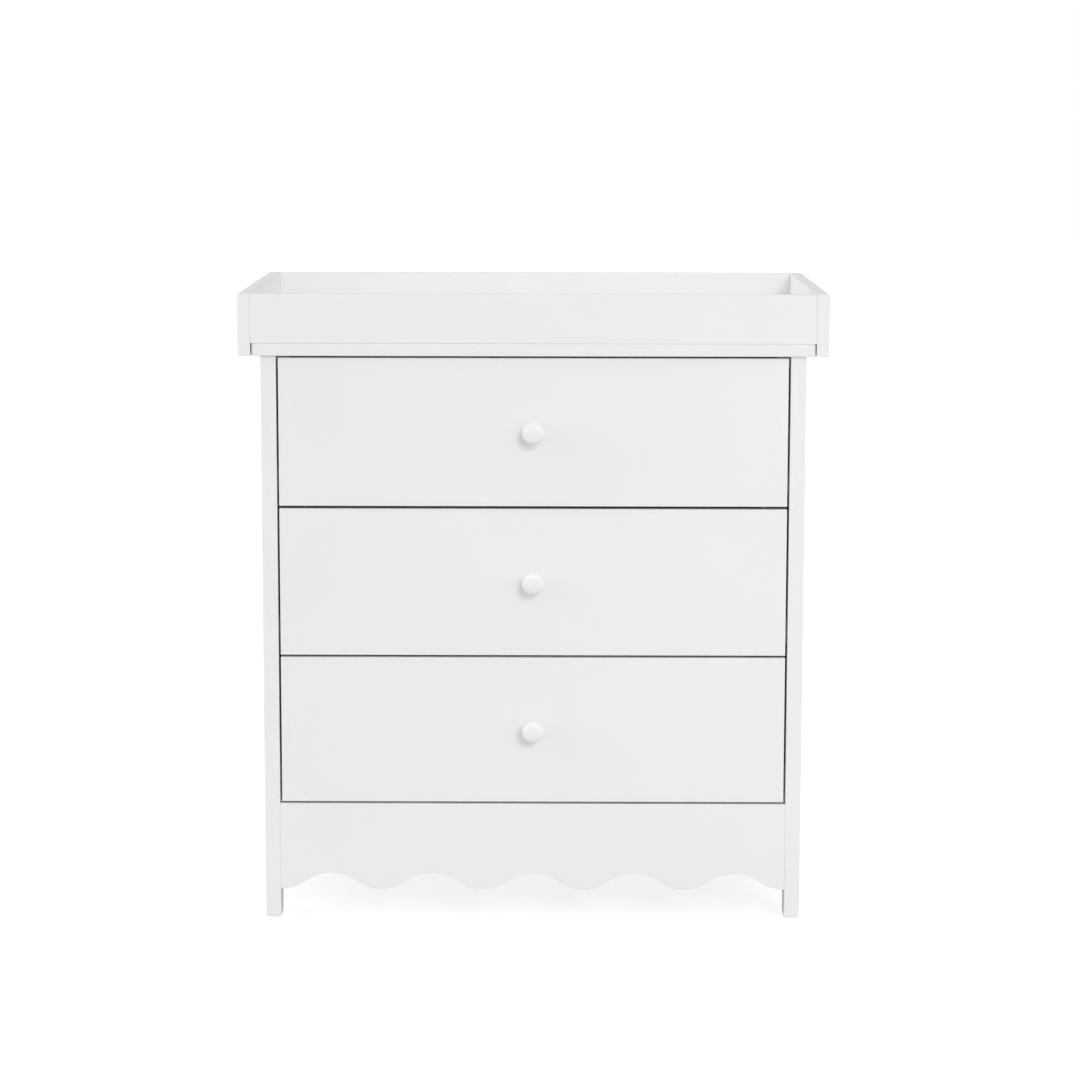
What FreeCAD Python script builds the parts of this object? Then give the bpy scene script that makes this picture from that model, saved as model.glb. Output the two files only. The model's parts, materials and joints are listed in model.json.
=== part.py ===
import FreeCAD, Part
import math
import os

from FreeCAD import Vector

os.makedirs("parts", exist_ok=True)

# Changing table: a three-drawer dresser with a scalloped apron, and an open tray that lifts off its top.
# Millimetres. +Z is up, the drawers open towards -Y, and +X is the right-hand side seen from the front.
# The origin is on the floor, under the middle of the box around the whole object.

# ---- Driving dimensions: the outside ----
TOTAL_HEIGHT = 920.0        # floor to the top edge of the tray
TRAY_WIDTH = 850.0          # over the tray's side boards
TRAY_DEPTH = 530.0          # the tray and the dresser top have the same depth
TRAY_RISE = 71.0            # tray boards above the dresser top
BOARD = 18.0                # thickness of the top, tray, apron, drawer front and bottom boards
TOP_WIDTH = 812.0
TOP_CORNER = 7.0            # radius of its upright corners
TOP_OVERHANG = 5.0          # the top past the carcass, at the front and at the back
BODY_WIDTH = 786.0          # over the posts
POST_WIDTH = 22.2           # post section along X
POST_DEPTH = 40.0           # post section along Y
GLIDE_HEIGHT = 2.0

# ---- Driving dimensions: drawers and apron ----
DRAWER_COUNT = 3
FRONT_HEIGHT = 215.0
FRONT_GAPS = (2.9, 4.1, 3.5, 3.2)       # above each drawer front from the top down, and above the apron
SIDE_GAP = 3.1              # between a drawer front and the post beside it
APRON_LOW = 43.5            # lowest points of the scallops, above the floor
SCALLOP_RISE = 24.5         # from the lowest to the highest points of the scallops
SCALLOP_COUNT = 5
DRAWER_SIDE = 12.0          # thickness of the drawer sides and back
DRAWER_SIDE_HEIGHT = 150.0
DRAWER_LENGTH = 450.0       # drawer side boards and runners
DRAWER_SHEET = 4.0          # thickness of the drawer bottoms and of the back panel
SHEET_RISE = 10.0           # underside of a drawer bottom above the lower edge of its sides
GROOVE = 5.0                # depth of the grooves that hold a drawer bottom
KNOB_REACH = 25.0           # face of the knob in front of the drawer front
KNOB_RADIUS = 15.8
KNOB_DOME = 1.05            # rise of the slightly domed face
KNOB_RIM = 14.6             # thickness of the rounded rim
KNOB_BULGE = 5.9            # how far the rim bulges past the edge of the dome
KNOB_FOOT = 8.0             # radius of the foot on the drawer front
KNOB_WAIST = 6.3            # radius of the narrowest place

# ---- Driving dimensions: carcass boards ----
SIDE_PANEL = 15.0
SIDE_PANEL_LOW = 70.0
CLEAT = 18.0
RAIL_HEIGHT = 90.0

# ---- Driving dimensions: roller runners ----
RUNNER_SPACE = 12.5         # between a drawer side and the side panel
RUNNER_HEIGHT = 35.0
RUNNER_RISE = 16.0          # foot of a runner above the lower edge of its drawer front
STEEL = 1.2
ROLLER_RADIUS = 10.0
ROLLER_WIDTH = 7.0
ROLLER_PIN = 3.0
ROLLER_END = 12.0           # roller axis from the end of its runner
ROLLER_PLAY = 0.2           # beside a roller, along its pin
RIVET_RADIUS = 4.5
RIVET_HEAD = 0.7
CLEARANCE = 0.3             # between parts that move past each other
RUNNING_FIT = 0.05          # radial, roller on its pin
RUNNER_START = 2.0          # cabinet runner behind the back of the drawer front
RUNNER_SCREW_RISE = 6.5     # screws of the drawer runner above its foot, below the drawer bottom

# ---- Driving dimensions: fixings ----
SCREW_FIT = 0.1             # all round a screw or dowel in its hole
DOWEL_RADIUS = 4.0
DOWEL_LENGTH = 30.0
CAM_RADIUS = 7.5
CAM_HEIGHT = 13.0
CAM_REACH = 34.0            # cam axis from the board's end
CAM_BOLT_RISE = 9.0         # cam bolt above the face that the cam is let into
CAM_BOLT_RADIUS = 3.0
CAM_BOLT_BITE = 10.0        # cam bolt in the neighbouring board
BRACKET_THICKNESS = 2.0
BRACKET_X = 250.0
ANCHOR_X = 250.0            # wall-anchor holes either side of the middle
ANCHOR_Z = 800.0
ANCHOR_RADIUS = 2.5

# ---- Planes worked out from them ----
total_depth = KNOB_REACH - TOP_OVERHANG + TRAY_DEPTH + BRACKET_THICKNESS
face_y = KNOB_REACH - total_depth / 2               # front plane of the posts and drawer fronts
front_y = face_y - TOP_OVERHANG                     # front edge of the top and tray
back_y = front_y + TRAY_DEPTH                       # back edge of the top and tray
carcass_back_y = back_y - TOP_OVERHANG
inner_y = face_y + BOARD                            # back of the drawer fronts and apron
sheet_y = carcass_back_y - DRAWER_SHEET             # inner face of the back panel
top_z = TOTAL_HEIGHT - TRAY_RISE                    # upper face of the dresser top
carcass_z = top_z - BOARD                           # underside of the dresser top
apron_z = carcass_z - DRAWER_COUNT * FRONT_HEIGHT - sum(FRONT_GAPS)
inner_x = BODY_WIDTH / 2 - POST_WIDTH               # inner face of the posts and side panels
post_x = BODY_WIDTH / 2
tray_x = TRAY_WIDTH / 2
box_x = inner_x - RUNNER_SPACE                      # outer face of the drawer sides
box_in_x = box_x - DRAWER_SIDE
post_middle_x = inner_x + POST_WIDTH / 2

ALONG_X = Vector(1, 0, 0)
ALONG_Y = Vector(0, 1, 0)
ALONG_Z = Vector(0, 0, 1)


# ---- Shapes ----
def block(x, y, z):
    """A box from its low and high value along each axis."""
    return Part.makeBox(x[1] - x[0], y[1] - y[0], z[1] - z[0], Vector(x[0], y[0], z[0]))


def rod(radius, length, start, direction):
    return Part.makeCylinder(radius, length, start, direction)


def joined(first, others):
    return first.fuse(others).removeSplitter().Solids[0]


def cut(solid, tools):
    """The solid with the tools taken away, checked to be one piece."""
    solids = solid.cut(tools).Solids
    if len(solids) != 1:
        raise ValueError("a cut left %d solids" % len(solids))
    return solids[0]


def mirrored(solid):
    """The same piece on the other side of the middle plane."""
    return solid.mirror(Vector(0, 0, 0), ALONG_X)


def both_sides(solids):
    return list(solids) + [mirrored(solid) for solid in solids]


def rounded(solid, radius, wanted):
    """The solid with the straight edges that wanted() picks, rounded."""
    edges = [edge for edge in solid.Edges if wanted(edge)]
    return solid.makeFillet(radius, edges).Solids[0]


def runs_along(edge, direction):
    start, end = edge.Vertexes[0].Point, edge.Vertexes[-1].Point
    return abs((end - start).normalize().dot(direction)) > 0.999


def revolved_y(profile_edges):
    """A solid turned about the Y axis from edges in the XY plane."""
    face = Part.Face(Part.Wire(profile_edges))
    return face.revolve(Vector(0, 0, 0), ALONG_Y, 360).Solids[0]


def line(a, b):
    return Part.LineSegment(Vector(*a, 0), Vector(*b, 0)).toShape()


def arc(a, middle, b):
    return Part.Arc(Vector(*a, 0), Vector(*middle, 0), Vector(*b, 0)).toShape()


def save(node, solids):
    """Write one node as a STEP file, after checking its solids."""
    for solid in solids:
        if not solid.isValid() or solid.Volume <= 0:
            raise ValueError("bad solid in " + node)
    shape = solids[0] if len(solids) == 1 else Part.makeCompound(solids)
    shape.exportStep("parts/" + node + ".step")


def cross_recess(start, direction, reach, width, depth):
    """A driver's cross, sunk from start along direction."""
    bars = []
    for x, y in ((reach, width / 2), (width / 2, reach)):
        bars.append(block((-x, x), (-y, y), (-1, depth)))
    cross = joined(bars[0], bars[1:])
    cross.Placement = FreeCAD.Placement(start, FreeCAD.Rotation(ALONG_Z, direction))
    return cross


# ---- Fixings, each with the hole that it needs ----
class Screw:
    """A countersunk screw whose head is flush with a face at start, driven along direction."""

    def __init__(self, start, direction, length, shank=1.75, head=3.5):
        body = self.shape(start, direction, length, shank, head)
        recess = cross_recess(start, direction, head / 2, 0.3 * head, 0.8 * (head - shank))
        self.solid = cut(body, [recess])
        self.hole = self.shape(start, direction, length + 1, shank + SCREW_FIT, head + SCREW_FIT)

    @staticmethod
    def shape(start, direction, length, shank, head):
        sink = head - shank
        cone = Part.makeCone(head, shank, sink, start, direction)
        body = rod(shank, length - sink, start + direction * sink, direction)
        return joined(cone, [body])


class Dowel:
    """A wooden dowel centred on the joint between two boards."""

    def __init__(self, middle, direction):
        start = middle - direction * (DOWEL_LENGTH / 2)
        self.solid = rod(DOWEL_RADIUS, DOWEL_LENGTH, start, direction)
        slack = direction * 0.5
        self.hole = rod(DOWEL_RADIUS + SCREW_FIT, DOWEL_LENGTH + 1, start - slack, direction)


class CamFitting:
    """A cam lock let into a board at the +X end, and the bolt that it pulls on in the next board.

    face is the point on the board's face over the cam's axis, and inward points into the board.
    """

    def __init__(self, face, inward):
        axis = face + inward * CAM_BOLT_RISE
        lock = rod(CAM_RADIUS, CAM_HEIGHT, face, inward)
        socket = rod(CAM_BOLT_RADIUS + 2 * SCREW_FIT, CAM_RADIUS + 1, axis, ALONG_X)
        self.lock = cut(lock, [socket, cross_recess(face, inward, 3.0, 1.2, 3.0)])
        bolt_length = CAM_REACH + CAM_BOLT_BITE - 1
        self.bolt = rod(CAM_BOLT_RADIUS, bolt_length, axis + ALONG_X, ALONG_X)
        self.lock_hole = rod(CAM_RADIUS + SCREW_FIT, CAM_HEIGHT + SCREW_FIT, face, inward)
        self.bolt_hole = rod(CAM_BOLT_RADIUS + SCREW_FIT, bolt_length + 1, axis + ALONG_X, ALONG_X)
        self.solids = [self.lock, self.bolt]
        self.holes = [self.lock_hole, self.bolt_hole]


def holes(fixings):
    return [fixing.hole for fixing in fixings]


def solids(fixings):
    return [fixing.solid for fixing in fixings]


# ---- Fixings of the carcass, right-hand side ----
side_dowels = []
for dowel_z in (130.0, 450.0, 780.0):
    for joint_y in (face_y + POST_DEPTH, carcass_back_y - POST_DEPTH):
        side_dowels.append(Dowel(Vector(inner_x + SIDE_PANEL / 2, joint_y, dowel_z), ALONG_Y))

apron_dowels = []
for dowel_z in (80.0, 140.0):
    apron_dowels.append(Dowel(Vector(inner_x, face_y + BOARD / 2, dowel_z), ALONG_X))

cleat_screws = []
for screw_y in (-190.0, 0.0, 180.0):
    into_side = Vector(inner_x - CLEAT, screw_y + 25, carcass_z - CLEAT / 2)
    into_top = Vector(inner_x - CLEAT / 2, screw_y, carcass_z - CLEAT)
    cleat_screws.append(Screw(into_side, ALONG_X, 30.0))
    cleat_screws.append(Screw(into_top, ALONG_Z, 30.0))

bottom_cams = []
for cam_y in (-150.0, 150.0):
    bottom_cams.append(CamFitting(Vector(inner_x - CAM_REACH, cam_y, apron_z), ALONG_Z))

rail_y = sheet_y - BOARD
rail_cam = CamFitting(Vector(inner_x - CAM_REACH, rail_y, carcass_z - RAIL_HEIGHT / 2), ALONG_Y)

back_screws = []
for screw_x in (60.0, 200.0, 340.0):
    for screw_z in (carcass_z - 20.0, apron_z + BOARD / 2):
        back_screws.append(Screw(Vector(screw_x, carcass_back_y, screw_z), -ALONG_Y, 16.0, 1.5, 3.0))


def runner_foot(drawer):
    """Height of the foot of a drawer's runners; drawer 1 is the top one."""
    return front_low(drawer) + RUNNER_RISE


def front_low(drawer):
    """Height of the lower edge of a drawer front."""
    return carcass_z - drawer * FRONT_HEIGHT - sum(FRONT_GAPS[:drawer])


cabinet_runner_y = (inner_y + RUNNER_START, inner_y + RUNNER_START + DRAWER_LENGTH)
drawers = range(1, DRAWER_COUNT + 1)
cabinet_screws = []
for drawer in drawers:
    for screw_y in (cabinet_runner_y[0] + 50, cabinet_runner_y[0] + 230, cabinet_runner_y[1] - 60):
        screw_start = Vector(inner_x - STEEL, screw_y, runner_foot(drawer) + 28.5)
        cabinet_screws.append(Screw(screw_start, ALONG_X, 12.0, 1.5, 2.5))


# ---- Carcass ----
def make_posts():
    """Four square posts from the glides to the underside of the top."""
    z = (GLIDE_HEIGHT, carcass_z)
    x = (inner_x, post_x)
    front = block(x, (face_y, face_y + POST_DEPTH), z)
    rear = block(x, (carcass_back_y - POST_DEPTH, carcass_back_y), z)
    for y, post, name in ((face_y, front, "front"), (carcass_back_y - POST_DEPTH, rear, "rear")):
        nail_hole = glide_nail(y + POST_DEPTH / 2, SCREW_FIT)
        tools = holes(side_dowels) + holes(apron_dowels) + holes(cabinet_screws)
        post = cut(post, tools + [nail_hole, rail_cam.bolt_hole])
        save("post_" + name + "_right", [post])
        save("post_" + name + "_left", [mirrored(post)])


def glide_nail(y, slack):
    return rod(1.2 + slack, 12.0 + slack, Vector(post_middle_x, y, GLIDE_HEIGHT - 0.5), ALONG_Z)


def make_floor_glides():
    """A plastic glide with a nail under each post."""
    glides = []
    for y in (face_y + POST_DEPTH / 2, carcass_back_y - POST_DEPTH / 2):
        disc = Part.makeCone(8.4, 9.0, 0.6, Vector(post_middle_x, y, 0), ALONG_Z)
        rim = rod(9.0, GLIDE_HEIGHT - 0.6, Vector(post_middle_x, y, 0.6), ALONG_Z)
        glides.append(joined(disc, [rim, glide_nail(y, 0)]))
    save("floor_glides", both_sides(glides))


def make_side_panels():
    """A panel between the posts, flush with them inside and set back outside."""
    y = (face_y + POST_DEPTH, carcass_back_y - POST_DEPTH)
    panel = block((inner_x, inner_x + SIDE_PANEL), y, (SIDE_PANEL_LOW, carcass_z))
    tools = holes(side_dowels) + holes(cleat_screws) + holes(cabinet_screws)
    tools += [cam.bolt_hole for cam in bottom_cams]
    panel = cut(panel, tools)
    save("side_panel_right", [panel])
    save("side_panel_left", [mirrored(panel)])


def make_dresser_top():
    """The overhanging top, with its upright corners rounded."""
    top = block((-TOP_WIDTH / 2, TOP_WIDTH / 2), (front_y, back_y), (carcass_z, top_z))
    top = rounded(top, TOP_CORNER, lambda edge: runs_along(edge, ALONG_Z))
    screw_holes = both_sides(holes(cleat_screws))
    save("dresser_top", [cut(top, screw_holes)])


def make_bottom_panel():
    """The board under the lowest drawer, behind its front and level with the apron's upper edge."""
    y = (inner_y + 1.0, sheet_y)
    panel = block((-inner_x, inner_x), y, (apron_z, apron_z + BOARD))
    tools = []
    for cam in bottom_cams:
        tools += both_sides(cam.holes)
    tools += both_sides(holes(back_screws))
    save("bottom_panel", [cut(panel, tools)])


def make_rear_top_rail():
    """A rail across the back, under the top, with the two wall-anchor holes."""
    z = (carcass_z - RAIL_HEIGHT, carcass_z)
    rail = block((-inner_x, inner_x), (rail_y, sheet_y), z)
    tools = both_sides(rail_cam.holes) + both_sides(holes(back_screws)) + both_sides([anchor_hole()])
    save("rear_top_rail", [cut(rail, tools)])


def anchor_hole():
    """The hole of a wall anchor, through the rail and the back panel."""
    length = carcass_back_y - rail_y + 2
    return rod(ANCHOR_RADIUS, length, Vector(ANCHOR_X, rail_y - 1, ANCHOR_Z), ALONG_Y)


def make_back_panel():
    """A thin sheet between the rear posts, over the rail and the bottom panel."""
    x = (-inner_x + 0.5, inner_x - 0.5)
    panel = block(x, (sheet_y, carcass_back_y), (apron_z, carcass_z))
    tools = both_sides(holes(back_screws)) + both_sides([anchor_hole()])
    save("back_panel", [cut(panel, tools)])


def make_top_cleats():
    """A batten along each side panel, screwed to it and up into the top."""
    x = (inner_x - CLEAT, inner_x)
    cleat = block(x, (inner_y + 1.0, rail_y - 1.0), (carcass_z - CLEAT, carcass_z))
    cleat = cut(cleat, holes(cleat_screws))
    save("top_cleat_right", [cleat])
    save("top_cleat_left", [mirrored(cleat)])


def make_scalloped_apron():
    """The board under the drawers; its lower edge is a wave of equal arcs that run into each other."""
    quarter = inner_x / (2 * SCALLOP_COUNT)
    middle_z = APRON_LOW + SCALLOP_RISE / 2
    radius = (quarter ** 2 + (SCALLOP_RISE / 2) ** 2) / SCALLOP_RISE
    edges = []
    # The wave starts and ends at a low point; each arc turns about its own low or high point.
    for step in range(2 * SCALLOP_COUNT + 1):
        peak_x = -inner_x + 2 * quarter * step
        is_high = step % 2 == 1
        peak_z = middle_z + (SCALLOP_RISE / 2 if is_high else -SCALLOP_RISE / 2)
        start = Vector(max(peak_x - quarter, -inner_x), face_y, middle_z)
        end = Vector(min(peak_x + quarter, inner_x), face_y, middle_z)
        between = Vector(peak_x, face_y, peak_z)
        if step == 0:
            start = between
        if step == 2 * SCALLOP_COUNT:
            end = between
        if step in (0, 2 * SCALLOP_COUNT):
            centre_z = peak_z + radius
            between_x = (start.x + end.x) / 2
            drop = math.sqrt(radius ** 2 - (between_x - peak_x) ** 2)
            between = Vector(between_x, face_y, centre_z - drop)
        edges.append(Part.Arc(start, between, end).toShape())
    corners = [Vector(inner_x, face_y, APRON_LOW), Vector(inner_x, face_y, apron_z),
               Vector(-inner_x, face_y, apron_z), Vector(-inner_x, face_y, APRON_LOW)]
    for a, b in zip(corners, corners[1:]):
        edges.append(Part.LineSegment(a, b).toShape())
    face = Part.Face(Part.Wire(Part.__sortEdges__(edges)))
    apron = face.extrude(ALONG_Y * BOARD).Solids[0]
    save("scalloped_apron", [cut(apron, both_sides(holes(apron_dowels)))])


def make_carcass_fixings():
    dowels = solids(side_dowels) + solids(apron_dowels)
    save("carcass_dowels", both_sides(dowels))
    screws = solids(cleat_screws) + solids(back_screws) + solids(cabinet_screws)
    save("carcass_screws", both_sides(screws))
    fittings = []
    for cam in bottom_cams + [rail_cam]:
        fittings += cam.solids
    save("cam_fittings", both_sides(fittings))


# ---- Roller runners ----
def roller(x, y, z):
    """A nylon roller that starts at x and turns about an axis along X."""
    wheel = rod(ROLLER_RADIUS, ROLLER_WIDTH, Vector(x, y, z), ALONG_X)
    wheel = wheel.makeFillet(0.8, [edge for edge in wheel.Edges if edge.isClosed()])
    bore = rod(ROLLER_PIN + RUNNING_FIT, ROLLER_WIDTH + 2, Vector(x - 1, y, z), ALONG_X)
    return cut(wheel.Solids[0], [bore])


def roller_pin(web_x, far_x, way, y, z):
    """A riveted pin from a runner's web to the roller's far face; way is +1 towards +X, or -1."""
    direction = ALONG_X * way
    end_x = far_x + way * ROLLER_PLAY
    near_x = far_x - way * (ROLLER_WIDTH + ROLLER_PLAY)
    start = Vector(web_x, y, z)
    pin = rod(ROLLER_PIN, abs(end_x - web_x), start, direction)
    shoulder = rod(RIVET_RADIUS, abs(near_x - web_x), start, direction)
    rivet = rod(RIVET_RADIUS, RIVET_HEAD, Vector(end_x, y, z), direction)
    return [pin, shoulder, rivet]


roller_x = inner_x - RUNNER_SPACE / 2 - ROLLER_WIDTH / 2 + 0.25
roller_rise = STEEL + CLEARANCE + ROLLER_RADIUS             # roller axis above the runner's foot
flange_rise = roller_rise + ROLLER_RADIUS + CLEARANCE       # underside of the drawer runner's flange


def make_cabinet_runner(drawer):
    """A channel on each side of the cabinet, with a roller on a riveted pin at its front end."""
    foot = runner_foot(drawer)
    web_x = inner_x - STEEL
    lip_x = box_x + 2.0
    web = block((web_x, inner_x), cabinet_runner_y, (foot, foot + RUNNER_HEIGHT))
    lower = block((lip_x, web_x), cabinet_runner_y, (foot, foot + STEEL))
    upper = block((lip_x, web_x), cabinet_runner_y, (foot + RUNNER_HEIGHT - STEEL, foot + RUNNER_HEIGHT))
    y = cabinet_runner_y[0] + ROLLER_END
    z = foot + roller_rise
    runner = joined(web, [lower, upper] + roller_pin(web_x, roller_x, -1, y, z))
    slots = runner_slots((web_x - 1, inner_x + 1), cabinet_runner_y[0], z)
    runner = cut(runner, slots + holes(cabinet_screws))
    save("cabinet_runners_%d" % drawer, both_sides([runner]))
    save("cabinet_rollers_%d" % drawer, both_sides([roller(roller_x, y, z)]))


def runner_slots(x, start_y, z):
    """Spare fixing slots along the web of a runner."""
    slots = []
    for offset in (90.0, 150.0, 290.0, 350.0):
        slot = block(x, (start_y + offset, start_y + offset + 14.0), (z - 2.2, z + 2.2))
        slots.append(rounded(slot, 2.1, lambda edge: runs_along(edge, ALONG_X)))
    return slots


def drawer_screws(drawer):
    """The screws on the right of a drawer: three hold the runner, and two the back board."""
    screws = []
    for screw_y in (inner_y + 40, inner_y + 220, inner_y + 390):
        start = Vector(box_x + STEEL, screw_y, runner_foot(drawer) + RUNNER_SCREW_RISE)
        screws.append(Screw(start, -ALONG_X, 10.0, 1.5, 2.5))
    for rise in (60.0, 125.0):
        start = Vector(box_x, inner_y + DRAWER_LENGTH - DRAWER_SIDE / 2, runner_foot(drawer) + rise)
        screws.append(Screw(start, -ALONG_X, 30.0))
    return screws


def make_drawer_runner(drawer):
    """An angle under and beside each drawer side, with a roller on a riveted pin at its rear end."""
    foot = runner_foot(drawer)
    y = (inner_y, inner_y + DRAWER_LENGTH)
    web_x = box_x + STEEL
    web = block((box_x, web_x), y, (foot + CLEARANCE, foot + flange_rise + STEEL))
    shelf = block((box_in_x, box_x), y, (foot + CLEARANCE, foot + CLEARANCE + STEEL))
    flange = block((web_x, inner_x - STEEL - 0.5), y, (foot + flange_rise, foot + flange_rise + STEEL))
    pin_y = y[1] - ROLLER_END
    z = foot + roller_rise
    runner = joined(web, [shelf, flange] + roller_pin(web_x, roller_x + ROLLER_WIDTH, 1, pin_y, z))
    screws = drawer_screws(drawer)
    runner = cut(runner, runner_slots((box_x - 1, web_x + 1), y[0], z) + holes(screws))
    save("drawer_%d_runners" % drawer, both_sides([runner]))
    save("drawer_%d_rollers" % drawer, both_sides([roller(roller_x, pin_y, z)]))
    save("drawer_%d_screws" % drawer, both_sides(solids(screws)))


# ---- Drawers ----
def make_drawer(drawer):
    """A front, two sides, a back and a bottom sheet, with a knob."""
    low = front_low(drawer)
    side_low = runner_foot(drawer) + CLEARANCE + STEEL
    side_top = side_low + DRAWER_SIDE_HEIGHT
    sheet_z = (side_low + SHEET_RISE, side_low + SHEET_RISE + DRAWER_SHEET)
    box_back_y = inner_y + DRAWER_LENGTH
    knob_z = low + FRONT_HEIGHT / 2

    sheet = block((-box_in_x - GROOVE, box_in_x + GROOVE), (inner_y - GROOVE, box_back_y), sheet_z)
    front = block((-inner_x + SIDE_GAP, inner_x - SIDE_GAP), (face_y, inner_y), (low, low + FRONT_HEIGHT))
    knob_hole = rod(2.2, BOARD + 2, Vector(0, face_y - 1, knob_z), ALONG_Y)
    save("drawer_%d_front" % drawer, [cut(front, [sheet, knob_hole])])

    side = block((box_in_x, box_x), (inner_y, box_back_y), (side_low, side_top))
    side = cut(side, [sheet] + holes(drawer_screws(drawer)))
    save("drawer_%d_side_right" % drawer, [side])
    save("drawer_%d_side_left" % drawer, [mirrored(side)])

    back_board_y = (box_back_y - DRAWER_SIDE, box_back_y)
    back_board = block((-box_in_x, box_in_x), back_board_y, (sheet_z[1], side_top))
    back_board = cut(back_board, both_sides(holes(drawer_screws(drawer))))
    save("drawer_%d_back" % drawer, [back_board])
    save("drawer_%d_bottom" % drawer, [sheet])
    make_knob(drawer, knob_z)


def make_knob(drawer, z):
    """A turned mushroom knob and the machine screw that holds it from inside the drawer."""
    rim_x = KNOB_RADIUS - KNOB_BULGE
    dome_y = KNOB_DOME - KNOB_REACH             # where the dome meets the rim
    under_y = dome_y + KNOB_RIM                 # where the rim meets the underside
    dome_radius = (rim_x ** 2 + KNOB_DOME ** 2) / (2 * KNOB_DOME)
    half_angle = math.asin(rim_x / dome_radius) / 2
    dome_x = dome_radius * math.sin(half_angle)
    dome_rise = dome_radius * (1 - math.cos(half_angle))
    neck = (KNOB_FOOT - 0.4, under_y + 4.0)
    # The profile runs outwards along -Y: foot, waist, rim and domed face.
    profile = [
        line((0, 0), (KNOB_FOOT, 0)),
        line((KNOB_FOOT, 0), (KNOB_FOOT, -1.5)),
        arc((KNOB_FOOT, -1.5), (KNOB_WAIST, (neck[1] - 1.5) / 2), neck),
        line(neck, (rim_x, under_y)),
        arc((rim_x, under_y), (KNOB_RADIUS, (under_y + dome_y) / 2), (rim_x, dome_y)),
        arc((rim_x, dome_y), (dome_x, dome_rise - KNOB_REACH), (0, -KNOB_REACH)),
        line((0, -KNOB_REACH), (0, 0)),
    ]
    place = Vector(0, face_y, z)
    knob = revolved_y(profile)
    knob.translate(place)
    thread = rod(2.0 + SCREW_FIT, 13.0, place, -ALONG_Y)
    save("drawer_%d_knob" % drawer, [cut(knob, [thread])])

    head_at = Vector(0, inner_y, z)
    shank = rod(2.0, BOARD + 12.0, head_at, -ALONG_Y)
    head = Part.makeCone(4.0, 3.2, 2.2, head_at, ALONG_Y)
    recess = cross_recess(head_at + ALONG_Y * 2.2, -ALONG_Y, 2.0, 1.0, 1.6)
    save("drawer_%d_knob_screw" % drawer, [cut(joined(head, [shank]), [recess])])


# ---- Tray ----
def make_tray():
    """Four boards that stand on the dresser top; the side boards hang down over its ends."""
    inner_tray_x = tray_x - BOARD
    dowels = []
    for joint_y in (front_y + BOARD / 2, back_y - BOARD / 2):
        for rise in (18.0, 53.0):
            dowels.append(Dowel(Vector(inner_tray_x, joint_y, top_z + rise), ALONG_X))

    side = block((inner_tray_x, tray_x), (front_y, back_y), (carcass_z, TOTAL_HEIGHT))
    side = cut(side, holes(dowels))
    save("tray_side_right", [side])
    save("tray_side_left", [mirrored(side)])

    x = (-inner_tray_x, inner_tray_x)
    z = (top_z, TOTAL_HEIGHT)
    dowel_holes = both_sides(holes(dowels))
    bracket_screws = tray_bracket_screws()
    front = block(x, (front_y, front_y + BOARD), z)
    save("tray_front", [cut(front, dowel_holes)])
    back = block(x, (back_y - BOARD, back_y), z)
    save("tray_back", [cut(back, dowel_holes + both_sides(holes(bracket_screws)))])
    save("tray_dowels", both_sides(solids(dowels)))
    save("tray_bracket_screws", both_sides(solids(bracket_screws)))
    make_tray_brackets(bracket_screws)


def tray_bracket_screws():
    face = back_y + BRACKET_THICKNESS
    return [Screw(Vector(BRACKET_X, face, top_z + rise), -ALONG_Y, 16.0) for rise in (20.0, 38.0)]


def make_tray_brackets(screws):
    """Flat steel plates on the tray's back that hang down behind the dresser top and locate the tray."""
    width = 30.0
    x = (BRACKET_X - width / 2, BRACKET_X + width / 2)
    plate = block(x, (back_y, back_y + BRACKET_THICKNESS), (carcass_z + 1, top_z + 50))
    plate = rounded(plate, 6.0, lambda edge: runs_along(edge, ALONG_Y))
    lock_hole = rod(2.2, 10, Vector(BRACKET_X, back_y - 1, top_z - BOARD / 2), ALONG_Y)
    save("tray_brackets", both_sides([cut(plate, holes(screws) + [lock_hole])]))


make_posts()
make_floor_glides()
make_side_panels()
make_dresser_top()
make_bottom_panel()
make_rear_top_rail()
make_back_panel()
make_top_cleats()
make_scalloped_apron()
make_carcass_fixings()
for drawer in drawers:
    make_cabinet_runner(drawer)
    make_drawer_runner(drawer)
    make_drawer(drawer)
make_tray()
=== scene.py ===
import json
from math import cos, radians, sin

import bmesh
import bpy
from mathutils import Matrix, Vector


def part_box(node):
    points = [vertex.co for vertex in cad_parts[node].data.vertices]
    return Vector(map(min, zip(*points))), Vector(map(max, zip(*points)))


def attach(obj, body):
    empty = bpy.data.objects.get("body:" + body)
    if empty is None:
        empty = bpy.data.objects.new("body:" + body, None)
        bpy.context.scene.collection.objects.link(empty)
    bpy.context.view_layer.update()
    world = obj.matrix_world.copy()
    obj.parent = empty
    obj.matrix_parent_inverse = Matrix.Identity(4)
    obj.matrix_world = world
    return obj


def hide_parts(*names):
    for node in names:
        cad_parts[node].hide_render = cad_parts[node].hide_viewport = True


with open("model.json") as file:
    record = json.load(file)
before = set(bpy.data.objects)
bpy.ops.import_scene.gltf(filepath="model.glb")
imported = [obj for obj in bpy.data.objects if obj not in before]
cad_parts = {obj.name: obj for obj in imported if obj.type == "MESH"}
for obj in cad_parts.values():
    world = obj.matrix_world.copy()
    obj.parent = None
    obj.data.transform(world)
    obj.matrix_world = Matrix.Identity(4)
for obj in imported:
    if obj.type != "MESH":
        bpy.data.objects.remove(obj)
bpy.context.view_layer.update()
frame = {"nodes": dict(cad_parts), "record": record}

# A white changing table: a three-drawer dresser with a tray that lifts off its top.
# Metres. The CAD model is the frame. Here every board gets eased edges, and every piece gets its finish.

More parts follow.
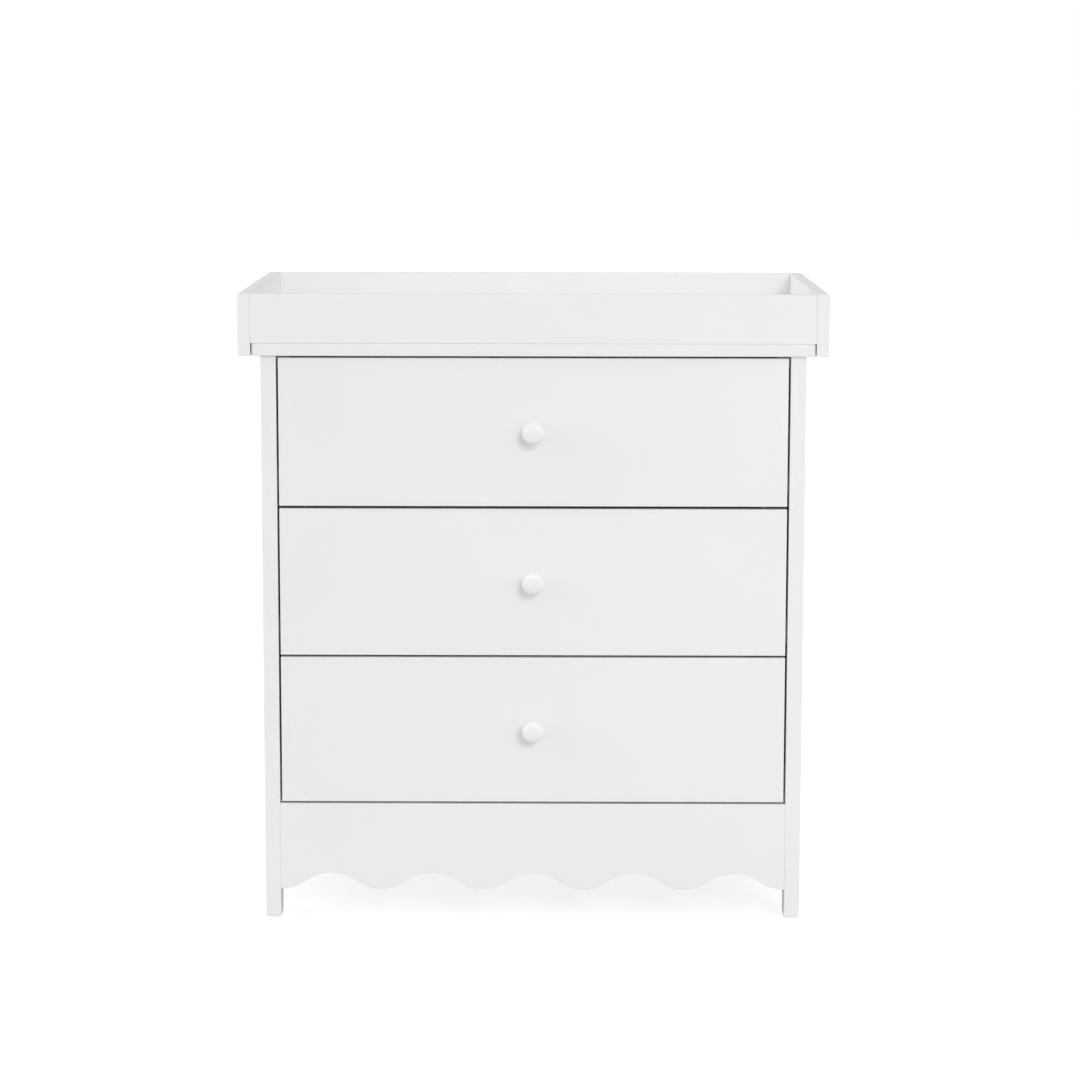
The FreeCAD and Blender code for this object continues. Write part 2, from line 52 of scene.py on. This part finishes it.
# ---- What the record says about each node ----
node_slot = {row["node"]: row["material_slot"] for row in frame["record"]["subparts"]}
node_body = {}
for body, members in frame["record"]["behaviour"]["bodies"].items():
    for member in members:
        node_body[member] = body

# ---- Edge radius of each kind of board ----
EDGE = {
    "dresser_top": 0.0012,
    "tray": 0.0010,
    "post": 0.0009,
    "drawer_front": 0.0007,
    "apron": 0.0007,
    "board": 0.0006,
    "sheet": 0.0003,
}
BEVEL_STEPS = 4
SHARP = radians(35)         # an edge that turns more than this is a sharp one
FLAT = radians(0.4)         # faces that turn less than this are joined into one
WELD = 1e-6                 # points nearer to each other than this are merged
HOLE_RIM = 0.020            # a ring of sharp edges smaller than this is a hole's rim and stays sharp

# ---- Size of each pattern: noise cells per metre ----
PAINT_CLOUDS = 5.0
PAINT_GLOSS = 38.0
PAINT_PEEL = 650.0
FOIL_CHIPS = 180.0
COAT_CLOUDS = 25.0
COAT_GRAIN = 1400.0
PLASTIC_FLOW = 120.0
PLASTIC_GRAIN = 1800.0
WOOD_FIBRES = (60, 900, 900)        # long along X
FLOOR_MOTTLE = 2.0


# ---- Shader building blocks ----
def new_material(name):
    """A material with an empty node tree."""
    material = bpy.data.materials.new(name)
    material.use_nodes = True
    material.node_tree.nodes.clear()
    return material, material.node_tree


def shader(tree, **sockets):
    """A Principled shader on the output, with constants set on its own sockets."""
    principled = tree.nodes.new("ShaderNodeBsdfPrincipled")
    for key, value in sockets.items():
        principled.inputs[key.replace("_", " ")].default_value = value
    output = tree.nodes.new("ShaderNodeOutputMaterial")
    tree.links.new(principled.outputs["BSDF"], output.inputs["Surface"])
    return principled


def stretched_coordinates(tree, stretch=(1, 1, 1)):
    """Object coordinates in metres, squeezed so that a pattern runs long where stretch is small."""
    place = tree.nodes.new("ShaderNodeTexCoord")
    mapping = tree.nodes.new("ShaderNodeMapping")
    mapping.inputs["Scale"].default_value = stretch
    tree.links.new(place.outputs["Object"], mapping.inputs["Vector"])
    return mapping.outputs["Vector"]


def noise(tree, coordinates, scale, detail=2.0, roughness=0.5):
    """A 0-1 noise with scale cells per metre."""
    node = tree.nodes.new("ShaderNodeTexNoise")
    node.inputs["Scale"].default_value = scale
    node.inputs["Detail"].default_value = detail
    node.inputs["Roughness"].default_value = roughness
    tree.links.new(coordinates, node.inputs["Vector"])
    return node.outputs["Fac"]


def ranged(tree, value, low, high, from_low=0.3, from_high=0.7):
    """A 0-1 value spread over low to high."""
    node = tree.nodes.new("ShaderNodeMapRange")
    node.inputs["From Min"].default_value = from_low
    node.inputs["From Max"].default_value = from_high
    node.inputs["To Min"].default_value = low
    node.inputs["To Max"].default_value = high
    tree.links.new(value, node.inputs["Value"])
    return node.outputs["Result"]


def mixed(tree, factor, first, second):
    """A colour between two, each a tuple or another node's output."""
    node = tree.nodes.new("ShaderNodeMix")
    node.data_type = "RGBA"
    tree.links.new(factor, node.inputs["Factor"])
    for socket, colour in ((node.inputs[6], first), (node.inputs[7], second)):
        if isinstance(colour, tuple):
            socket.default_value = (*colour, 1.0)
        else:
            tree.links.new(colour, socket)
    return node.outputs[2]


def bumped(tree, principled, height, depth):
    """Relief of the given depth in metres."""
    node = tree.nodes.new("ShaderNodeBump")
    node.inputs["Distance"].default_value = depth
    tree.links.new(height, node.inputs["Height"])
    tree.links.new(node.outputs["Normal"], principled.inputs["Normal"])


def edge_mask(tree, radius):
    """1 on the rounded edges of a piece, 0 on its flats."""
    bevel = tree.nodes.new("ShaderNodeBevel")
    bevel.samples = 4
    bevel.inputs["Radius"].default_value = radius
    geometry = tree.nodes.new("ShaderNodeNewGeometry")
    dot = tree.nodes.new("ShaderNodeVectorMath")
    dot.operation = "DOT_PRODUCT"
    tree.links.new(bevel.outputs["Normal"], dot.inputs[0])
    tree.links.new(geometry.outputs["True Normal"], dot.inputs[1])
    return ranged(tree, dot.outputs["Value"], 1.0, 0.0, 0.80, 0.99)


# ---- Finishes ----
def paint(name, white, shade, roughness, peel, specular=0.5):
    """Sprayed satin paint on board: faint cloudiness, orange peel, and a thinner coat along the edges."""
    material, tree = new_material(name)
    principled = shader(tree, IOR=1.46, Specular_IOR_Level=specular)
    everywhere = stretched_coordinates(tree)
    cloud = ranged(tree, noise(tree, everywhere, PAINT_CLOUDS, 3.0), 0.0, 1.0)
    body_colour = mixed(tree, cloud, white, shade)
    thin_coat = tuple(0.965 * channel for channel in shade)
    colour = mixed(tree, edge_mask(tree, 0.002), body_colour, thin_coat)
    tree.links.new(colour, principled.inputs["Base Color"])
    patches = noise(tree, everywhere, PAINT_GLOSS, 4.0, 0.6)
    gloss = ranged(tree, patches, roughness - 0.05, roughness + 0.05)
    tree.links.new(gloss, principled.inputs["Roughness"])
    bumped(tree, principled, noise(tree, everywhere, PAINT_PEEL), peel)
    return material


def foil(name, white, shade):
    """Matt foil on particle board: a faint chip pattern shows through."""
    material, tree = new_material(name)
    principled = shader(tree, IOR=1.45)
    everywhere = stretched_coordinates(tree)
    chips = noise(tree, everywhere, FOIL_CHIPS, 5.0, 0.7)
    colour = mixed(tree, ranged(tree, chips, 0.0, 1.0), white, shade)
    tree.links.new(colour, principled.inputs["Base Color"])
    tree.links.new(ranged(tree, chips, 0.46, 0.58), principled.inputs["Roughness"])
    bumped(tree, principled, chips, 0.00003)
    return material


def powder_coat(name, white, shade):
    """Powder-coated steel: fine grain and faint cloudiness."""
    material, tree = new_material(name)
    principled = shader(tree, IOR=1.5)
    everywhere = stretched_coordinates(tree)
    grain = noise(tree, everywhere, COAT_GRAIN)
    cloud = ranged(tree, noise(tree, everywhere, COAT_CLOUDS, 3.0), 0.0, 1.0)
    tree.links.new(mixed(tree, cloud, white, shade), principled.inputs["Base Color"])
    tree.links.new(ranged(tree, grain, 0.32, 0.46), principled.inputs["Roughness"])
    bumped(tree, principled, grain, 0.00002)
    return material


def moulded_plastic(name, white, shade, roughness):
    """Moulded plastic that lets a little light in, with flow marks."""
    material, tree = new_material(name)
    principled = shader(tree, IOR=1.5, Subsurface_Weight=0.15, Subsurface_Scale=0.002)
    everywhere = stretched_coordinates(tree)
    flow = noise(tree, everywhere, PLASTIC_FLOW, 3.0)
    colour = mixed(tree, ranged(tree, flow, 0.0, 1.0), white, shade)
    tree.links.new(colour, principled.inputs["Base Color"])
    tree.links.new(ranged(tree, flow, roughness - 0.06, roughness + 0.08), principled.inputs["Roughness"])
    bumped(tree, principled, noise(tree, everywhere, PLASTIC_GRAIN), 0.00001)
    return material


def bare_metal(name, light, dark, rough_low, rough_high, grain_scale):
    """Plated or cast metal with mottled tone and fine handling marks."""
    material, tree = new_material(name)
    principled = shader(tree, Metallic=1.0)
    everywhere = stretched_coordinates(tree)
    mottle = noise(tree, everywhere, grain_scale, 5.0, 0.65)
    colour = mixed(tree, ranged(tree, mottle, 0.0, 1.0), light, dark)
    tree.links.new(colour, principled.inputs["Base Color"])
    fine = noise(tree, everywhere, 6.0 * grain_scale)
    tree.links.new(ranged(tree, fine, rough_low, rough_high), principled.inputs["Roughness"])
    bumped(tree, principled, fine, 0.00002)
    return material


def beech(name):
    """Plain beech dowel: short fibres along X."""
    material, tree = new_material(name)
    principled = shader(tree, IOR=1.45)
    fibres = noise(tree, stretched_coordinates(tree, WOOD_FIBRES), 1.0, 4.0, 0.6)
    colour = mixed(tree, ranged(tree, fibres, 0.0, 1.0), (0.62, 0.42, 0.24), (0.45, 0.28, 0.15))
    tree.links.new(colour, principled.inputs["Base Color"])
    tree.links.new(ranged(tree, fibres, 0.55, 0.7), principled.inputs["Roughness"])
    bumped(tree, principled, fibres, 0.00008)
    return material


finishes = {
    "painted_board": paint("satin_white_paint", (0.86,) * 3, (0.845,) * 3, 0.42, 0.00002),
    "knob_paint": paint("knob_white_paint", (0.865,) * 3, (0.855,) * 3, 0.18, 0.00001, specular=0.40),
    "drawer_board": foil("white_foil", (0.80, 0.80, 0.79), (0.77, 0.77, 0.76)),
    "white_sheet": foil("white_hardboard", (0.80, 0.80, 0.785), (0.76, 0.76, 0.745)),
    "runner_steel": powder_coat("white_powder_coat", (0.80, 0.80, 0.79), (0.76, 0.76, 0.75)),
    "nylon": moulded_plastic("white_nylon", (0.82, 0.82, 0.79), (0.78, 0.78, 0.75), 0.38),
    "glide_plastic": moulded_plastic("glide_plastic", (0.76, 0.76, 0.74), (0.72, 0.72, 0.70), 0.5),
    "screw_steel": bare_metal("zinc_plated_steel", (0.74, 0.75, 0.76), (0.58, 0.59, 0.60),
                              rough_low=0.22, rough_high=0.38, grain_scale=400.0),
    "bracket_steel": bare_metal("plated_sheet_steel", (0.72, 0.73, 0.74), (0.56, 0.57, 0.58),
                                rough_low=0.28, rough_high=0.45, grain_scale=160.0),
    "cam_zinc": bare_metal("cast_zinc", (0.60, 0.61, 0.62), (0.46, 0.47, 0.48),
                           rough_low=0.38, rough_high=0.58, grain_scale=300.0),
    "dowel_wood": beech("beech"),
}


# ---- Boards with eased edges, and knobs ----
def sharp_rings(mesh):
    """The sharp edges of a mesh, in connected groups, always in the same order."""
    sharp = {}
    for edge in mesh.edges:
        if len(edge.link_faces) == 2 and edge.calc_face_angle() > SHARP:
            sharp[edge] = True
    groups = []
    while sharp:
        first = next(iter(sharp))
        del sharp[first]
        group, waiting = [], [first]
        while waiting:
            edge = waiting.pop()
            group.append(edge)
            for vert in edge.verts:
                for neighbour in vert.link_edges:
                    if neighbour in sharp:
                        del sharp[neighbour]
                        waiting.append(neighbour)
        groups.append(group)
    return groups


def span(edges):
    """The largest side of the box around some edges."""
    points = [vert.co for edge in edges for vert in edge.verts]
    return max(max(p[i] for p in points) - min(p[i] for p in points) for i in range(3))


def welded_copy(node):
    """The mesh of a CAD node with its doubled points merged, so that its faces share their edges."""
    mesh = bmesh.new()
    mesh.from_mesh(frame["nodes"][node].data)
    bmesh.ops.remove_doubles(mesh, verts=mesh.verts, dist=WELD)
    return mesh


def stand_in(node, mesh, ending):
    """A new piece that stands for a CAD node, on the same body and with the same finish."""
    for face in mesh.faces:
        face.smooth = True
    data = bpy.data.meshes.new(node + ending)
    mesh.to_mesh(data)
    mesh.free()
    piece = bpy.data.objects.new(node + ending, data)
    bpy.context.scene.collection.objects.link(piece)
    piece.data.materials.append(finishes[node_slot[node]])
    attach(piece, node_body[node])
    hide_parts(node)
    return piece


def turned_knob(node):
    """A copy of a CAD knob, smooth but for the creases at its neck, its foot and its screw hole."""
    mesh = welded_copy(node)
    bmesh.ops.dissolve_degenerate(mesh, dist=WELD, edges=mesh.edges)
    for edge in mesh.edges:
        edge.smooth = edge.calc_face_angle() < SHARP
    stand_in(node, mesh, "_turned")


def eased_board(node, radius):
    """A copy of a CAD board whose outer edges are rounded."""
    mesh = welded_copy(node)
    bmesh.ops.dissolve_limit(mesh, angle_limit=FLAT, verts=mesh.verts, edges=mesh.edges)
    edges = []
    for group in sharp_rings(mesh):
        if span(group) > HOLE_RIM:
            edges += group
    bmesh.ops.bevel(mesh, geom=edges, offset=radius, offset_type="OFFSET", segments=BEVEL_STEPS,
                    profile=0.5, affect="EDGES", clamp_overlap=False)
    board = stand_in(node, mesh, "_eased")
    even = board.modifiers.new("even_normals", "WEIGHTED_NORMAL")
    even.keep_sharp = True


def edge_radius(node):
    """How far the outer edges of a board are rounded."""
    if node == "dresser_top":
        return EDGE["dresser_top"]
    if node.startswith("tray_"):
        return EDGE["tray"]
    if node.startswith("post_"):
        return EDGE["post"]
    if node.endswith("_front"):
        return EDGE["drawer_front"]
    if node == "scalloped_apron":
        return EDGE["apron"]
    if node_slot[node] == "white_sheet":
        return EDGE["sheet"]
    return EDGE["board"]


BOARD_SLOTS = ("painted_board", "drawer_board", "white_sheet")
for node, slot in sorted(node_slot.items()):
    if slot in BOARD_SLOTS:
        eased_board(node, edge_radius(node))
    elif slot == "knob_paint":
        turned_knob(node)
    else:
        part = frame["nodes"][node]
        part.data.materials.clear()
        part.data.materials.append(finishes[slot])


# ---- Studio: light and floor ----
AMBIENT = 0.53                          # radiance of the soft light from all round
AMBIENT_TILT = (0.0, -0.20, 0.36)       # its growth towards +X, +Y and +Z, as shares
FLOOR_SIZE = 40
FLOOR_SEEN = (0.34, 0.78)               # albedo and glow of the floor as the camera sees it
FLOOR_LIGHT = (0.55, 0.10)              # albedo and glow of the floor as it lights the object

# ---- Studio: camera ----
LENS = 103.9                # millimetres, on a sensor SENSOR millimetres wide
SENSOR = 36.0
EYE_DISTANCE = 4.472        # in front of the drawer faces
EYE_HEIGHT = 1.2205
EYE_OFFSET = 0.0249         # to the right of the middle
LOOK_DOWN = 8.352           # degrees
LOOK_LEFT = 0.19
ROLL = 0.10


def camera_only(tree, seen, lit):
    """One shader for what the camera sees directly, another for the light that the stage gives."""
    path = tree.nodes.new("ShaderNodeLightPath")
    mix = tree.nodes.new("ShaderNodeMixShader")
    tree.links.new(path.outputs["Is Camera Ray"], mix.inputs[0])
    tree.links.new(lit, mix.inputs[1])
    tree.links.new(seen, mix.inputs[2])
    return mix.outputs[0]


def make_floor():
    """A pale floor that reads as white, with a faint shadow under the object."""
    bpy.ops.mesh.primitive_plane_add(size=FLOOR_SIZE)
    floor = bpy.context.object
    floor.name = "studio_floor"
    material, tree = new_material("pale_floor")
    output = tree.nodes.new("ShaderNodeOutputMaterial")
    mottle = ranged(tree, noise(tree, stretched_coordinates(tree), FLOOR_MOTTLE, 3.0), 0.0, 1.0)
    surfaces = []
    for albedo, glow in (FLOOR_SEEN, FLOOR_LIGHT):
        principled = tree.nodes.new("ShaderNodeBsdfPrincipled")
        principled.inputs["Roughness"].default_value = 0.9
        principled.inputs["Emission Color"].default_value = (1, 1, 1, 1)
        principled.inputs["Emission Strength"].default_value = glow
        pale = mixed(tree, mottle, (albedo,) * 3, (0.97 * albedo,) * 3)
        tree.links.new(pale, principled.inputs["Base Color"])
        surfaces.append(principled.outputs["BSDF"])
    tree.links.new(camera_only(tree, *surfaces), output.inputs["Surface"])
    floor.data.materials.append(material)


def make_world():
    """Soft white light from all round, stronger overhead and in front; white behind the object."""
    world = bpy.data.worlds.new("studio")
    world.use_nodes = True
    tree = world.node_tree
    tree.nodes.clear()
    place = tree.nodes.new("ShaderNodeTexCoord")
    tilt = tree.nodes.new("ShaderNodeVectorMath")
    tilt.operation = "DOT_PRODUCT"
    tilt.inputs[1].default_value = AMBIENT_TILT
    tree.links.new(place.outputs["Generated"], tilt.inputs[0])
    strength = ranged(tree, tilt.outputs["Value"], 0.0, 2 * AMBIENT, -1.0, 1.0)
    lit = tree.nodes.new("ShaderNodeBackground")
    tree.links.new(strength, lit.inputs["Strength"])
    seen = tree.nodes.new("ShaderNodeBackground")
    for background in (lit, seen):
        background.inputs["Color"].default_value = (1, 1, 1, 1)
    output = tree.nodes.new("ShaderNodeOutputWorld")
    tree.links.new(camera_only(tree, seen.outputs[0], lit.outputs[0]), output.inputs["Surface"])
    bpy.context.scene.world = world


def aimed(light, direction):
    """Turn a light so that it shines against a direction."""
    light.rotation_euler = direction.to_track_quat("Z", "Y").to_euler()
    bpy.context.scene.collection.objects.link(light)


def make_softbox(name, azimuth, elevation, strength, spread):
    """A far softbox, spread degrees wide; azimuth is degrees to the right of straight in front."""
    right, up = radians(azimuth), radians(elevation)
    data = bpy.data.lights.new(name, "SUN")
    data.energy = strength
    data.angle = radians(spread)
    direction = Vector((sin(right) * cos(up), -cos(right) * cos(up), sin(up)))
    aimed(bpy.data.objects.new(name, data), direction)


def make_fill(place, target, size, energy):
    """A near, weak softbox that brightens the right-hand side."""
    data = bpy.data.lights.new("fill", "AREA")
    data.shape = "DISK"
    data.size = size
    data.energy = energy
    light = bpy.data.objects.new("fill", data)
    light.location = place
    aimed(light, (place - target).normalized())


def make_camera():
    """Above the tray, a little right of the middle, looking slightly down."""
    data = bpy.data.cameras.new("camera")
    data.lens = LENS
    data.sensor_width = SENSOR
    camera = bpy.data.objects.new("camera", data)
    drawer_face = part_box("drawer_1_front")[0].y
    place = Matrix.Translation((EYE_OFFSET, drawer_face - EYE_DISTANCE, EYE_HEIGHT))
    pan = Matrix.Rotation(radians(LOOK_LEFT), 4, "Z")
    tilt = Matrix.Rotation(radians(90 - LOOK_DOWN), 4, "X")
    roll = Matrix.Rotation(radians(ROLL), 4, "Z")
    camera.matrix_world = place @ pan @ tilt @ roll
    bpy.context.scene.collection.objects.link(camera)
    bpy.context.scene.camera = camera


make_floor()
make_world()
make_softbox("key", azimuth=21.0, elevation=27.0, strength=0.80, spread=20.0)
make_softbox("left_softbox", azimuth=-85.0, elevation=22.0, strength=1.04, spread=40.0)
make_softbox("right_softbox", azimuth=75.0, elevation=25.0, strength=0.34, spread=40.0)
make_fill(place=Vector((0.9, -1.6, 0.8)), target=Vector((0.1, -0.25, 0.5)), size=0.6, energy=1.5)
make_camera()
bpy.context.scene.view_settings.view_transform = "Standard"
